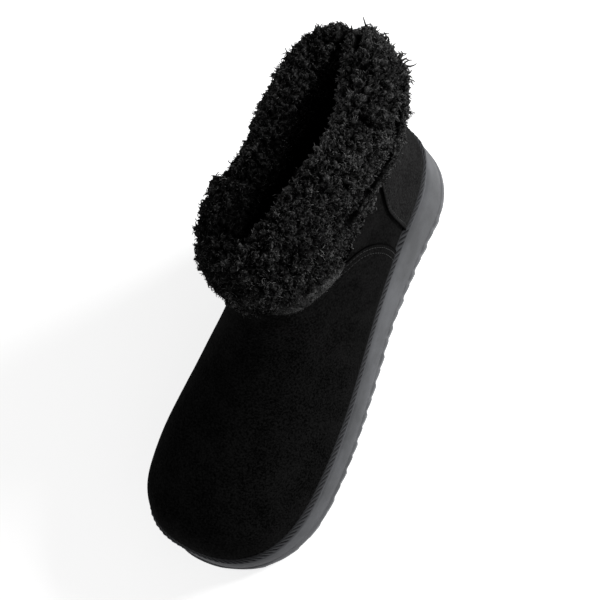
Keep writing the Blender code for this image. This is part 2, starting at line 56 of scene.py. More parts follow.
SLAB_LENGTH = 4
EDGE_REACH = 5
EDGE_BLEND = 3
BLOOM_SIZE = 22.2
# The grain of a sand-blasted mould is about 0.1 mm, too fine to show, so it is drawn larger.
MOULD_GRAIN = 0.909


def linear(code):
    """An sRGB hex colour as the linear values that a shader takes."""
    parts = [int(code[place:place + 2], 16) / 255 for place in (1, 3, 5)]
    return [part / 12.92 if part < 0.04045 else ((part + 0.055) / 1.055) ** 2.4 for part in parts] + [1.0]


def node(tree, kind, inputs=None, **settings):
    """Add a shader node; inputs are values or the outputs of other nodes, settings its own fields."""
    made = tree.nodes.new("ShaderNode" + kind)
    for field, value in settings.items():
        setattr(made, field, value)
    for socket, value in (inputs or {}).items():
        if isinstance(value, bpy.types.NodeSocket):
            tree.links.new(value, made.inputs[socket])
        else:
            made.inputs[socket].default_value = value
    return made


def new_material(name):
    """A material with its node tree, its shader, and the object coordinates its patterns read."""
    material = bpy.data.materials.new(name)
    material.use_nodes = True
    tree = material.node_tree
    return material, tree, tree.nodes["Principled BSDF"], node(tree, "TexCoord").outputs["Object"]


def cells(size):
    """Noise scale for a pattern whose features are so many millimetres across."""
    return 1 / (size * MM)


def cad_mesh(name):
    """A merged copy of a CAD node's mesh with its triangles joined back into quads."""
    mesh = bmesh.new()
    mesh.from_mesh(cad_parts[name].data)
    bmesh.ops.remove_doubles(mesh, verts=mesh.verts, dist=0.001 * MM)
    bmesh.ops.join_triangles(mesh, faces=mesh.faces, angle_face_threshold=math.pi,
                             angle_shape_threshold=math.pi)
    return mesh


def keep_corners(mesh, angle, sharpness):
    """Mark the edges that a subdivision leaves sharp."""
    crease = mesh.edges.layers.float.new("crease_edge")
    for edge in mesh.edges:
        if edge.calc_face_angle(math.pi) > math.radians(angle):
            edge[crease] = sharpness


def refined(mesh, levels):
    """The mesh after Catmull-Clark subdivision."""
    data = bpy.data.meshes.new("before_rounding")
    mesh.to_mesh(data)
    mesh.free()
    holder = bpy.data.objects.new("before_rounding", data)
    bpy.context.scene.collection.objects.link(holder)
    rounding = holder.modifiers.new("rounding", "SUBSURF")
    rounding.levels = levels
    rounding.render_levels = levels
    shaped = bmesh.new()
    shaped.from_object(holder, bpy.context.evaluated_depsgraph_get())
    bpy.data.objects.remove(holder)
    bpy.data.meshes.remove(data)
    return shaped


def finish_piece(name, mesh, material, sharp_angle=180.0):
    """Turn a mesh into a piece that rides on the boot's one body."""
    data = bpy.data.meshes.new(name)
    if isinstance(mesh, bmesh.types.BMesh):
        mesh.to_mesh(data)
        mesh.free()
    else:
        data.from_pydata(*mesh)
    data.shade_smooth()
    data.set_sharp_from_angle(angle=math.radians(sharp_angle))
    data.materials.append(material)
    piece = bpy.data.objects.new(name, data)
    bpy.context.scene.collection.objects.link(piece)
    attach(piece, "root")
    return piece


def moulded_rubber(name, face_colour, dull_colour, roughness, gloss):
    """Moulded foam rubber: matte, with the fine dull bloom and faint flow marks of a mould."""
    material, tree, shader, place = new_material(name)
    bloom = node(tree, "TexNoise", {"Vector": place, "Scale": cells(BLOOM_SIZE), "Detail": 4.0,
                                    "Roughness": 0.6})
    share = node(tree, "MapRange", {"Value": bloom.outputs["Fac"], "From Min": 0.35, "From Max": 0.7})
    colour = node(tree, "Mix", {0: share.outputs["Result"], 6: linear(face_colour),
                                7: linear(dull_colour)}, data_type="RGBA")
    tree.links.new(colour.outputs[2], shader.inputs["Base Color"])
    grain = node(tree, "TexNoise", {"Vector": place, "Scale": cells(MOULD_GRAIN), "Detail": 3.0})
    rough = node(tree, "MapRange", {"Value": grain.outputs["Fac"], "To Min": roughness - 0.08,
                                    "To Max": roughness + 0.08})
    tree.links.new(rough.outputs["Result"], shader.inputs["Roughness"])
    bump = node(tree, "Bump", {"Height": grain.outputs["Fac"], "Strength": 0.25, "Distance": 0.1 * MM})
    tree.links.new(bump.outputs["Normal"], shader.inputs["Normal"])
    shader.inputs["IOR"].default_value = 1.5
    shader.inputs["Specular IOR Level"].default_value = gloss
    return material


def scallop(mesh):
    """Press the tread's long edges in a little behind each lug, so that seen from above they step."""
    places = np.array([vert.co for vert in mesh.verts]) / MM
    slab = np.round(places[:, 1] / SLAB_LENGTH).astype(int) * 2 + (places[:, 0] > 0)
    widest = {key: np.abs(places[slab == key, 0]).max() for key in np.unique(slab)}
    for vert, (x, y, _), key in zip(mesh.verts, places, slab):
        along = max(0.0, 1 - (abs(y - STEPPED_MIDDLE) / STEPPED_REACH) ** 6)
        at_edge = min(max((abs(x) - widest[key] + EDGE_REACH) / EDGE_BLEND, 0), 1)
        vert.co.x -= math.copysign(LUG_STEP * (y / LUG_PITCH % 1) ** 2 * along * at_edge, x) * MM


outsole_mesh = cad_mesh("outsole")
keep_corners(outsole_mesh, 28, LUG_CORNER)
tread_rubber = moulded_rubber("moulded_tread_rubber", "#626365", "#747578", 0.62, 0.2)
outsole_mesh = refined(outsole_mesh, 2)
scallop(outsole_mesh)
outsole = finish_piece("outsole_tread", outsole_mesh, tread_rubber, 40)
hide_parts("outsole")


# ---- Midsole ---------------------------------------------------------------------------------
# The platform wedge: expanded foam, moulded in one piece with a matte skin, cemented to the
# tread below and to the lasted upper above.
WEDGE_CORNER = 0.85

midsole_mesh = cad_mesh("midsole")
keep_corners(midsole_mesh, 35, WEDGE_CORNER)
foam = moulded_rubber("moulded_foam_skin", "#48494b", "#5a5b5e", 0.58, 0.15)
midsole = finish_piece("midsole_wedge", refined(midsole_mesh, 2), foam, 45)
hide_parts("midsole")


# ---- Upper -----------------------------------------------------------------------------------
# The quarters: chrome-tanned split suede, lasted down under the rand, lined and stiffened, so
# that the wall is several millimetres thick. The nap drinks light and shows brushed patches.
CORE = ((0, -58, 175), (0, -58, 90), (0, -30, 60), (3, 20, 42), (5, 105, 38))
# Seams in side view, as (y, z) points that the cut of the leather passes through.
VAMP_SEAM = ((-59.5, 10), (-59, 40), (-58, 52.6), (-56.6, 63), (-53.3, 74), (-48.4, 84.3), (-42.6, 91.4),
             (-37, 95.6), (-32, 98.5), (-28.5, 102), (-25, 108), (-20, 116), (0, 127), (40, 134))
COUNTER_SEAM = ((-72, 10), (-71.2, 42.2), (-69.7, 56.1), (-68.6, 67.8), (-68.3, 79.8), (-71.2, 93.1),
                (-78.5, 112), (-84.5, 125))
INSTEP_SLIM = 3.2
SNAP = 0.14
# Near black painted along each lapped panel's cut edge: the dark raw edge, and painted shadow where the
# edge stands over the quarter.
CUT_EDGE_AND_SHADOW_COLOUR = "#010101"
BRUSHED_PATCH = 12.5
# The fibres of the nap are about 0.2 mm apart, too fine to show, so they are drawn larger.
NAP_GRAIN = 1.053


def eased(values, low, high):
    """0 below the low value, 1 above the high one, and a smooth slope between them."""
    share = np.clip((values - low) / (high - low), 0, 1)
    return share * share * (3 - 2 * share)


def move_vertices(mesh, places):
    """Put the vertices at the places given in millimetres."""
    for vert, place in zip(mesh.verts, places * MM):
        vert.co = place


def rounded_line(corners):
    """A line through the corners with its turns rounded by cutting each one twice."""
    line = np.array(corners, float)
    for _ in range(2):
        cut = np.stack([0.75 * line[:-1] + 0.25 * line[1:], 0.25 * line[:-1] + 0.75 * line[1:]], axis=1)
        line = np.vstack([line[:1], cut.reshape(-1, 2), line[-1:]])
    return line


def past_seam(mesh, corners, toe_side):
    """Millimetres from each vertex to a seam in side view, positive on the side asked for."""
    line = rounded_line(corners)
    start, run = line[:-1], np.diff(line, axis=0)
    points = np.array([vert.co[1:] for vert in mesh.verts]) / MM
    reach = points[:, None] - start
    share = np.clip((reach * run).sum(2) / (run * run).sum(1), 0, 1)
    gap = np.linalg.norm(reach - share[..., None] * run, axis=2)
    nearest = gap.argmin(1)
    rows = np.arange(len(points))
    turn = run[nearest, 0] * reach[rows, nearest, 1] - run[nearest, 1] * reach[rows, nearest, 0]
    return gap[rows, nearest] * np.sign(turn) * (-1 if toe_side else 1)


def score(mesh, depth, level):
    """Cut a line of edges into a mesh where the depth layer of its vertices equals a level."""
    on_line = []
    for vert in mesh.verts:
        if abs(vert[depth] - level) < SNAP:
            vert[depth] = level
            on_line.append(vert)
    for edge in list(mesh.edges):
        first, second = edge.verts
        below, above = first[depth] - level, second[depth] - level
        if below * above < 0:
            _, made = bmesh.utils.edge_split(edge, first, below / (below - above))
            made[depth] = level
            on_line.append(made)
    bmesh.ops.connect_verts(mesh, verts=on_line)


def keep_side(mesh, outer):
    """Keep the outer or the inner faces of the hollow upper, without its rims and its underside."""
    core = np.array(CORE, float) * MM
    run = np.diff(core, axis=0)
    unwanted = []
    for face in mesh.faces:
        reach = np.array(face.calc_center_median()) - core[:-1]
        share = np.clip((reach * run).sum(1) / (run * run).sum(1), 0, 1)
        away = reach - share[:, None] * run
        nearest = np.linalg.norm(away, axis=1).argmin()
        looks_out = away[nearest] @ np.array(face.normal) > 0
        rim_or_sole = face.normal.z < -0.6 if outer else face.normal.z > 0.8
        if looks_out != outer or rim_or_sole:
            unwanted.append(face)
    bmesh.ops.delete(mesh, geom=unwanted, context="FACES")


def suede(name, nap_colour, brushed_colour):
    """Suede: cut fibres lying every way, almost no gloss, a soft sheen where they stand on edge."""
    material, tree, shader, place = new_material(name)
    brushed = node(tree, "TexNoise", {"Vector": place, "Scale": cells(BRUSHED_PATCH), "Detail": 3.0,
                                      "Roughness": 0.6})
    nap = node(tree, "TexNoise", {"Vector": place, "Scale": cells(NAP_GRAIN), "Detail": 2.0,
                                  "Roughness": 0.6})
    both = node(tree, "Mix", {0: 0.75, 2: brushed.outputs["Fac"], 3: nap.outputs["Fac"]})
    share = node(tree, "MapRange", {"Value": both.outputs[0], "From Min": 0.37, "From Max": 0.63})
    colour = node(tree, "Mix", {0: share.outputs["Result"], 6: linear(nap_colour),
                                7: linear(brushed_colour)}, data_type="RGBA")
    # Near black mixed in along a cut edge: the raw edge's own colour and painted shadow along the lap.
    cut = node(tree, "Attribute", attribute_name="cut_edge_and_shadow").outputs["Fac"]
    edged = node(tree, "Mix", {0: cut, 6: colour.outputs[2], 7: linear(CUT_EDGE_AND_SHADOW_COLOUR)}, data_type="RGBA")
    tree.links.new(edged.outputs[2], shader.inputs["Base Color"])
    bump = node(tree, "Bump", {"Height": both.outputs[0], "Strength": 0.5, "Distance": 0.35 * MM})
    tree.links.new(bump.outputs["Normal"], shader.inputs["Normal"])
    shader.inputs["Roughness"].default_value = 0.95
    shader.inputs["Specular IOR Level"].default_value = 0.0
    shader.inputs["Sheen Weight"].default_value = 0.01
    shader.inputs["Sheen Roughness"].default_value = 0.45
    return material


def smooth_upper(levels):
    """The lasted upper, subdivided and relaxed where its joined quads are uneven."""
    mesh = cad_mesh("upper")
    keep_corners(mesh, 60, 0.8)
    mesh = refined(mesh, levels)
    bmesh.ops.smooth_vert(mesh, verts=mesh.verts, factor=0.5, use_axis_x=True, use_axis_y=True,
                          use_axis_z=True)
    places = np.array([vert.co for vert in mesh.verts]) / MM
    slim = eased(places[:, 0], -4, 16) * eased(places[:, 2], 62, 92) * (1 - eased(places[:, 2], 112, 135))
    slim *= eased(places[:, 1], -30, 10) * (1 - eased(places[:, 1], 48, 85))
    places[:, 0] -= INSTEP_SLIM * slim
    move_vertices(mesh, places)
    return mesh


shell_mesh = smooth_upper(2)
keep_side(shell_mesh, True)
black_suede = suede("split_suede", "#020202", "#151515")
upper = finish_piece("suede_quarters", smooth_upper(1), black_suede, 50)
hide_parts("upper")


# ---- Vamp and heel counter -------------------------------------------------------------------
# Two more panels of the same suede, skived at the edge and lapped over the quarters: the vamp
# from the seam to the toe, topstitched twice, and the heel counter, topstitched once.
VAMP_THICK = 1.1
VAMP_ROWS = (2.3, 5.3)
COUNTER_RAISE = 1.6
COUNTER_ROWS = (2.3,)
EDGE_LEVELS = (0.0, 0.5, 1.3, 2.3, 3.3, 4.4, 5.3, 6.2)
STITCH_PULL = 0.25
STITCH_PITCH = 2.9
STITCH_LENGTH = 2.3
STITCH_THICK = 0.4
ROW_WIDTH = 0.8
SEAM_AXIS_HEIGHT = 15
SAME_POINT = 0.6
CHAIN_BREAK = 9
# A plied thread turns about every 0.3 mm, too fine to show, so its twist is drawn larger.
THREAD_TWIST = 0.6667


def panel_height(depth, rows, thick):
    """Height of a panel's face over the quarter: a rounded edge, pulled down along each row."""
    edge = np.interp(depth, (0, 0.5, 1.3), (0.72, 0.94, 1.0))
    pull = sum(np.exp(-(((depth - row) / ROW_WIDTH) ** 2)) for row in rows)
    return thick * edge - STITCH_PULL * pull


def paint(piece, name, values):
    """Store one value for each vertex under a name that a material reads."""
    layer = piece.data.attributes.new(name, "FLOAT", "POINT")
    layer.data.foreach_set("value", np.asarray(values, np.float32))


def ordered_chains(verts):
    """Points and normals along a seam, in order over the boot from its outer side to its inner."""
    verts = sorted(verts, key=lambda vert: math.atan2(vert.co.x, vert.co.z - SEAM_AXIS_HEIGHT * MM))
    chains = [[]]
    for vert in verts:
        if chains[-1]:
            step = (vert.co - chains[-1][-1][0]).length
            if step < SAME_POINT * MM:
                continue
            if step > CHAIN_BREAK * MM:
                chains.append([])
        chains[-1].append((vert.co.copy(), vert.normal.copy()))
    return [chain for chain in chains if len(chain) > 4]


def stitch_shape():
    """One stitch of waxed thread: a short round bar, sunk at both ends."""
    mesh = bmesh.new()
    bmesh.ops.create_uvsphere(mesh, u_segments=6, v_segments=5, radius=0.5)
    bmesh.ops.rotate(mesh, verts=mesh.verts, cent=(0, 0, 0), matrix=Matrix.Rotation(math.pi / 2, 3, "X"))
    bmesh.ops.scale(mesh, vec=(STITCH_THICK * MM, STITCH_LENGTH * MM, STITCH_THICK * MM), verts=mesh.verts)
    bmesh.ops.recalc_face_normals(mesh, faces=mesh.faces)
    return mesh


def joined_copies(shape, frames):
    """Vertices and faces of one copy of a small shape for each 3 by 4 frame."""
    corners = np.array([vert.co for vert in shape.verts])
    faces = [[vert.index for vert in face.verts] for face in shape.faces]
    placed = np.einsum("nij,vj->nvi", frames[:, :, :3], corners) + frames[:, None, :, 3]
    count = len(corners)
    shifted = [[index + count * copy for index in face] for copy in range(len(frames)) for face in faces]
    return placed.reshape(-1, 3), [], shifted


def in_fixed_order(faces):
    """The same faces, each from its lowest vertex on, because a UV sphere's come in any order."""
    starts = [face.index(min(face)) for face in faces]
    return sorted(face[start:] + face[:start] for face, start in zip(faces, starts))


def stitch_frames(chain):
    """Frames for stitches laid end to end along a chain of points and normals."""
    points = np.array([point for point, _ in chain])
    normals = np.array([normal for _, normal in chain])
    travelled = np.concatenate([[0], np.cumsum(np.linalg.norm(np.diff(points, axis=0), axis=1))])
    places = np.arange(STITCH_PITCH / 2, travelled[-1] / MM - STITCH_PITCH / 2, STITCH_PITCH) * MM

    def at(values, where):
        return np.stack([np.interp(where, travelled, values[:, axis]) for axis in range(3)], axis=1)

    half = STITCH_LENGTH * MM / 2
    along = at(points, places + half) - at(points, places - half)
    along /= np.linalg.norm(along, axis=1, keepdims=True)
    up = at(normals, places)
    across = np.cross(along, up)
    across /= np.linalg.norm(across, axis=1, keepdims=True)
    up = np.cross(across, along)
    return np.stack([across, along, up, at(points, places)], axis=2)


def lapped_panel(name, corners, toe_side, rows, thick, material):
    """Cut a panel out of the upper's outer side along a seam, raise it, and mark its stitch rows."""
    mesh = shell_mesh.copy()
    depth = mesh.verts.layers.float.new("past_seam")
    for vert, value in zip(mesh.verts, past_seam(mesh, corners, toe_side)):
        vert[depth] = value
    for level in EDGE_LEVELS:
        score(mesh, depth, level)
    outside = [face for face in mesh.faces if sum(vert[depth] for vert in face.verts) < 0]
    bmesh.ops.delete(mesh, geom=outside, context="FACES")
    bmesh.ops.remove_doubles(mesh, verts=mesh.verts, dist=0.3 * MM)
    mesh.normal_update()
    heights = panel_height(np.array([vert[depth] for vert in mesh.verts]), rows, thick)
    normals = [vert.normal.copy() for vert in mesh.verts]
    for vert, normal, height in zip(mesh.verts, normals, heights):
        vert.co += normal * height * MM
    mesh.normal_update()
    frames = []
    for row in rows:
        on_row = [vert for vert in mesh.verts if abs(vert[depth] - row) < 0.02]
        frames.extend(stitch_frames(chain) for chain in ordered_chains(on_row))
    # Paint the panel dark within about a millimetre of its cut edge: the raw edge, and painted shadow
    # along the lap.
    cut_edge_and_shadow = [1 - eased(vert[depth], 0.3, 1.0) for vert in mesh.verts]
    panel = finish_piece(name, mesh, material, 60)
    paint(panel, "cut_edge_and_shadow", cut_edge_and_shadow)
    wall = panel.modifiers.new("thickness", "SOLIDIFY")
    wall.thickness = (thick - 0.1) * MM
    wall.offset = -1
    return panel, np.concatenate(frames)


def waxed_thread():
    """Bonded polyester thread, black, with a slight waxy shine on its twist."""
    material, tree, shader, place = new_material("bonded_polyester_thread")
    twist = node(tree, "TexNoise", {"Vector": place, "Scale": cells(THREAD_TWIST), "Detail": 2.0})
    colour = node(tree, "Mix", {0: twist.outputs["Fac"], 6: linear("#0e0e0e"), 7: linear("#1a1a1a")},
                  data_type="RGBA")
    tree.links.new(colour.outputs[2], shader.inputs["Base Color"])
    shader.inputs["Roughness"].default_value = 0.6
    shader.inputs["Specular IOR Level"].default_value = 0.15
    return material


vamp, vamp_stitches = lapped_panel("suede_vamp", VAMP_SEAM, True, VAMP_ROWS, VAMP_THICK,
                                   black_suede)
# The counter's suede is painted lighter than the quarters': painted light, for the key light falling on
# the heel side.
counter_suede_painted_lighter = suede("counter_suede_painted_lighter", "#080808", "#262626")
counter, counter_stitches = lapped_panel("suede_heel_counter", COUNTER_SEAM, False, COUNTER_ROWS,
                                         COUNTER_RAISE, counter_suede_painted_lighter)
shell_mesh.free()
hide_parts("heel_counter")
stitch = stitch_shape()
stitch_points, _, stitch_faces = joined_copies(stitch, np.concatenate([vamp_stitches, counter_stitches]))
finish_piece("topstitching", (stitch_points, [], in_fixed_order(stitch_faces)), waxed_thread())
stitch.free()


# ---- Rand ------------------------------------------------------------------------------------
# A foxing band of calendered rubber, cemented round the seam of upper and sole. A roller has
# pressed slanting cords into its face, and its two ends are butted so that it is one ring.
RIB_PITCH = 3.4
RIB_DEPTH = 1.1
RIB_LEAN = 2.4
RIB_STEPS = 6
BAND_LAP = 3.0
BAND_LIFT = 0.5
SPINE_BACK = -90
SPINE_FRONT = 85
SPINE_TURN = 150
WALK_STOPS = 721
RAY_LENGTH = 90
BAND_LEVELS = (16, 48, 0.25)
BAND_HEIGHT = 11.0
# The band's section, as (millimetres inward from its face, share of its height).
BAND_SECTION = ((-2.3, 0.0), (-0.5, 0.0), (-0.12, 0.05), (0, 0.17), (0, 0.34), (0, 0.5), (0, 0.66),
                (0, 0.83), (-0.12, 0.95), (-0.5, 1.0), (-2.3, 1.0), (-2.3, 0.0))
MIDDLE_ROW = 5


def round_boot(walk):
    """Spine positions and outward directions for a walk round the boot, from 0 at the heel to 1."""
    side = SPINE_FRONT - SPINE_BACK
    stops = np.cumsum([0, side, SPINE_TURN, side, SPINE_TURN])
    ends = (SPINE_BACK, SPINE_FRONT, SPINE_FRONT, SPINE_BACK, SPINE_BACK)
    spine = np.interp(walk * stops[-1], stops, ends)
    angle = np.interp(walk * stops[-1], stops, (0, 0, math.pi, math.pi, 2 * math.pi))
    return spine, np.stack([-np.cos(angle), np.sin(angle)], axis=1)


def band_face(tree, spine, outward, height):
    """Where a level ray from outside first meets the band, in millimetres, or None if it misses."""
    start = Vector((RAY_LENGTH * outward[0], spine + RAY_LENGTH * outward[1], height)) * MM
    face = tree.ray_cast(start, Vector((-outward[0], -outward[1], 0)), RAY_LENGTH * MM)[0]
    return None if face is None else np.array(face) / MM


def band_contours(tree, body, walks):
    """Points of the band's face at each height of its section, and its lower and upper edges."""
    spine, outward = round_boot(walks)
    levels = np.arange(*BAND_LEVELS)
    edges = []
    for y, out in zip(spine[::4], outward[::4]):
        met = [level for level in levels if band_face(tree, y, out, level) is not None]
        edges.append((met[0], met[-1]))
    edges = np.array([np.interp(walks, walks[::4], edge) for edge in np.array(edges).T])
    edges[1] += BAND_LAP
    contours = []
    for _, share in BAND_SECTION:
        heights = edges[0] + (edges[1] - edges[0]) * np.clip(share, 0.08, 0.92)
        met = [band_face(body, y, out, height) for y, out, height in zip(spine, outward, heights)]
        contours.append(np.array(met)[:, :2] + BAND_LIFT * share * outward)
    return np.array(contours), edges, outward


def ribbed_band():
    """A closed ring whose grid is sheared along the cords, so that each cord follows its columns."""
    cad_band = cad_mesh("rand")
    tree = BVHTree.FromBMesh(cad_band)
    for panel in (upper, vamp, counter):
        cad_band.from_mesh(panel.data)
    body = BVHTree.FromBMesh(cad_band)
    cad_band.free()
    walks = np.linspace(0, 1, WALK_STOPS)
    contours, edges, outward = band_contours(tree, body, walks)
    steps = np.linalg.norm(np.diff(contours[MIDDLE_ROW], axis=0), axis=1)
    travelled = np.concatenate([[0], np.cumsum(steps)])
    columns = round(travelled[-1] / RIB_PITCH) * RIB_STEPS
    mesh = bmesh.new()
    bmesh.ops.create_grid(mesh, x_segments=columns, y_segments=len(BAND_SECTION) - 1, size=0.5)
    crest = mesh.verts.layers.float.new("crest")
    for vert in mesh.verts:
        column = round((vert.co.x + 0.5) * columns)
        row = round((vert.co.y + 0.5) * (len(BAND_SECTION) - 1))
        inset, share = BAND_SECTION[row]
        place = column / columns * travelled[-1] + RIB_LEAN * (share - 0.5) * BAND_HEIGHT
        walk = np.interp(place % travelled[-1], travelled, walks)
        low, high = (np.interp(walk, walks, edge) for edge in edges)
        out = np.array([np.interp(walk, walks, outward[:, axis]) for axis in range(2)])
        swelling = math.sin(math.pi * (column % RIB_STEPS) / RIB_STEPS)
        # Crest is 1 on the cords and falls to 0 in the grooves and towards the band's top edge, where it
        # meets the upper; its inverse paints shade there.
        vert[crest] = float(eased(swelling, 0.3, 0.95)) * (1 - share) ** 0.65
        cord = RIB_DEPTH * (1 - swelling) if inset > -1 else 0
        x, y = (np.interp(walk, walks, contours[row, :, axis]) for axis in range(2))
        x, y = np.array((x, y)) + out * (inset - cord)
        vert.co = Vector((x, y, low + (high - low) * share)) * MM
    bmesh.ops.remove_doubles(mesh, verts=mesh.verts, dist=0.01 * MM)
    bmesh.ops.recalc_face_normals(mesh, faces=mesh.faces)
    return mesh, np.array([vert[crest] for vert in mesh.verts])


def darken(material, attribute, dark_colour):
    """Mix a second colour into a material where a painted attribute is high."""
    tree = material.node_tree
    base = tree.nodes["Principled BSDF"].inputs["Base Color"]
    share = node(tree, "Attribute", attribute_name=attribute).outputs["Fac"]
    mixed = node(tree, "Mix", {0: share, 6: base.links[0].from_socket, 7: linear(dark_colour)},
                 data_type="RGBA")
    tree.links.new(mixed.outputs[2], base)


band_mesh, crests = ribbed_band()
band_rubber = moulded_rubber("calendered_rubber", "#56575a", "#5e5f62", 0.6, 0.05)
# Painted shade: near black mixed into the grooves between the cords and along the band's top edge.
darken(band_rubber, "painted_valley_shade", "#030304")
rand = finish_piece("ribbed_rand", band_mesh, band_rubber, 50)
paint(rand, "painted_valley_shade", 1 - crests)
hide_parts("rand")


# ---- Cuff ------------------------------------------------------------------------------------
# Wool fleece on a knitted back, turned down over the collar. The curls draw together into
# tufts; the turned hem is brushed flat, and the cuff is creased where it was folded and seamed.
TUFT_SPACING = 3.5
TUFT_DEPTH = 3.0
TUFT_SINK = 3.0
TUFT_STRAY = 2.1
LOCK_SPACING = 1.7
LOCK_DEPTH = 1.4
LOCK_STRAY = 0.7
SPLIT_DEPTH = 1.3
WAVE_HEIGHT = 1.4
INNER_PRESS = 3.8
NEAR_RIM_PRESS = 2.6
FAR_RIM_SWELL = 0.2
FAR_RIM_PRESS = 1.7
HEM_FLARE = 4.2
HEM_TUCK = 2.0
HEM_RAISE = 4.0
CUFF_MIDDLE = -58
CUFF_CORE = ((0, -100, 150), (0, -15, 150))
BACK_LOBE = (-29, -116, 152)
LOBE_RISE = 4.5
LOBE_SIZE = 17
# Dents in the back of the cuff: where each lies, how deep it is and how wide.
DENTS = (((-2, -131, 151), 3.6, 6.5), ((-31, -116, 129), 5.0, 3.2))
# Sewn creases and short gaps between tufts, and the long crease where the fold was pressed.
# FOLD_OPEN gives how strongly that crease shows at each Y along it.
SEWN_DEPTH = 4.5
SEWN_WIDTH = 2.2
BACK_CREASE = ((2.7, -134, 138), (2.5, -130, 150), (0.5, -124.5, 156), (0.6, -119.5, 157),
               (1.2, -116.5, 150), (2.4, -114, 140))
SIDE_CREASE = ((-3, -132, 148), (-5.3, -127, 155), (-8.4, -120, 160), (-11.6, -112, 164.5),
               (-11.2, -108, 163.8))
SIDE_CREASE_NARROWER = 0.6
WOOL_GAPS = (((-29, -99, 158), (-30, -94, 157.5)), ((-22.5, -45, 164.5), (-24, -37, 161.5)),
             ((-26, -87, 161), (-28.5, -86, 157.5), (-31, -86.5, 153.5)),
             ((-32, -73, 154), (-33.5, -73, 145), (-34.5, -71, 138)),
             ((-27.5, -75, 161.5), (-28.5, -73, 159.5)), ((-23.5, -100, 163), (-26, -103, 160)),
             ((-28, -60, 157), (-30, -63, 150)), ((-26.5, -58, 156), (-30, -56, 150)),
             ((-23.5, -97, 162), (-25, -95, 161.5)), ((-19.5, -63.5, 164.5), (-22, -62, 164)),
             ((-18, -108, 163), (-20, -113, 162.5)), ((-34, -101, 152), (-34, -99, 150.5)),
             ((-26, -63.5, 161.5), (-29, -63.5, 160)), ((-14, -124, 159), (-16.5, -123, 159.5)))
WOOL_GAP_NARROWER = 1.2
FOLD_DEPTH = 3.8
FOLD_WIDTH = 2.4
FOLD_SHADOW = (0, 0, 2.2)
FOLD_CREASE = ((-33, -117, 146), (-34, -111, 144.5), (-34, -107, 140.5), (-34.5, -100, 135.5),
               (-35.3, -94, 132.5), (-35, -86, 127), (-34.5, -79, 125.5), (-33.8, -70, 126.5),
               (-34.6, -59, 131.5), (-33.6, -54, 131.5), (-32.6, -48, 133), (-32, -42, 140),
               (-31, -38, 144))
FOLD_OPEN = ((-120, 0.2), (-112, 0.95), (-98, 0.95), (-94, 0.55), (-89, 0.55), (-87, 0.9), (-82, 0.9),
             (-78, 0.5), (-73, 0.5), (-70, 0.9), (-65, 0.9), (-61, 0.5), (-54, 0.8), (-48, 0.8), (-38, 0))
# Heights along the boot, as (Y, Z): the top of the brushed hem, the top of the turned flap, and
# the level inside the opening below which shade is painted on the pile.
HEM_TOP = ((-36, 108), (-26, 121), (-16, 128), (-7, 130), (0, 132), (6, 133), (10, 126), (15, 108))
FLAP_TOP = ((-130, 140), (-94, 142.6), (-84, 135.3), (-64, 133.8), (-51, 136.4), (-20, 136.4), (0, 134),
            (20, 130))
DARK_LINE = ((-125, 150), (-105, 145), (-95, 141), (-85, 149), (-77, 155), (-70, 158), (-50, 159),
             (-30, 160.5), (-15, 166))
NEAR_SIDE_LOWER = 14
# Painted shade on the wool: how much of its colour is taken deep in the opening, and how much is left in a
# sewn crease and in the fold.
DEEP_DIMMING = 0.93
CREASE_LIGHT = 0.1
FOLD_LIGHT = 0.34
# A crimped fibre is about 0.03 mm thick, too fine to show, so the fuzz is drawn larger.
FUZZ_SIZE = 0.8696


def gap_to_line(points, line):
    """Distance of each point from a line of corners, and the nearest point on it."""
    corners = np.array(line, float)
    run = np.diff(corners, axis=0)
    reach = points[:, None] - corners[:-1]
    share = np.clip((reach * run).sum(2) / (run * run).sum(1), 0, 1)
    foot = corners[:-1] + share[..., None] * run
    gap = np.linalg.norm(points[:, None] - foot, axis=2)
    nearest = gap.argmin(1)
    rows = np.arange(len(points))
    return gap[rows, nearest], foot[rows, nearest]


def height_at(line, places):
    """Value at each place of a line given as pairs of a Y and a value."""
    return np.interp(places[:, 1], *zip(*line))


def at_least(floor, share):
    """A share from 0 to 1 squeezed into the range from the floor to 1."""
    return floor + (1 - floor) * share


def scattered(points, spacing, seed):
    """Indices of points picked at random so that no two are nearer than the spacing."""
    tree = KDTree(len(points))
    for index, point in enumerate(points):
        tree.insert(point, index)
    tree.balance()
    free = np.ones(len(points), bool)
    picked = []
    for index in np.random.default_rng(seed).permutation(len(points)):
        if free[index]:
            picked.append(index)
            for _, near, _ in tree.find_range(points[index], spacing):
                free[near] = False
    return picked


def tufted(points, spacing, stray_size, seed):
    """How far up its tuft each point stands, from 0 in the gaps to 1, and a random value per tuft.

    The vector noise starts from the clock unless it is given a seed.
    """
    noise.seed_set(seed)
    picked = scattered(points, spacing, seed)
    tree = KDTree(len(picked))
    for index, centre in enumerate(points[picked]):
        tree.insert(centre, index)
    tree.balance()
    chance = np.random.default_rng(seed + 1).random(len(picked))
    rise = np.empty(len(points))
    own = np.empty(len(points))
    for row, point in enumerate(points):
        stray = noise.noise_vector(Vector(point) / spacing * 1.3) * stray_size
        (_, nearest, near), (_, _, far) = tree.find_n(Vector(point) + stray, 2)
        rise[row] = 1 - (near / far) ** 2
        own[row] = chance[nearest]
    return rise, own


def vertex_places(mesh):
    """Vertex positions in millimetres, and unit normals."""
    mesh.normal_update()
    return (np.array([vert.co for vert in mesh.verts]) / MM,
            np.array([vert.normal for vert in mesh.verts]))


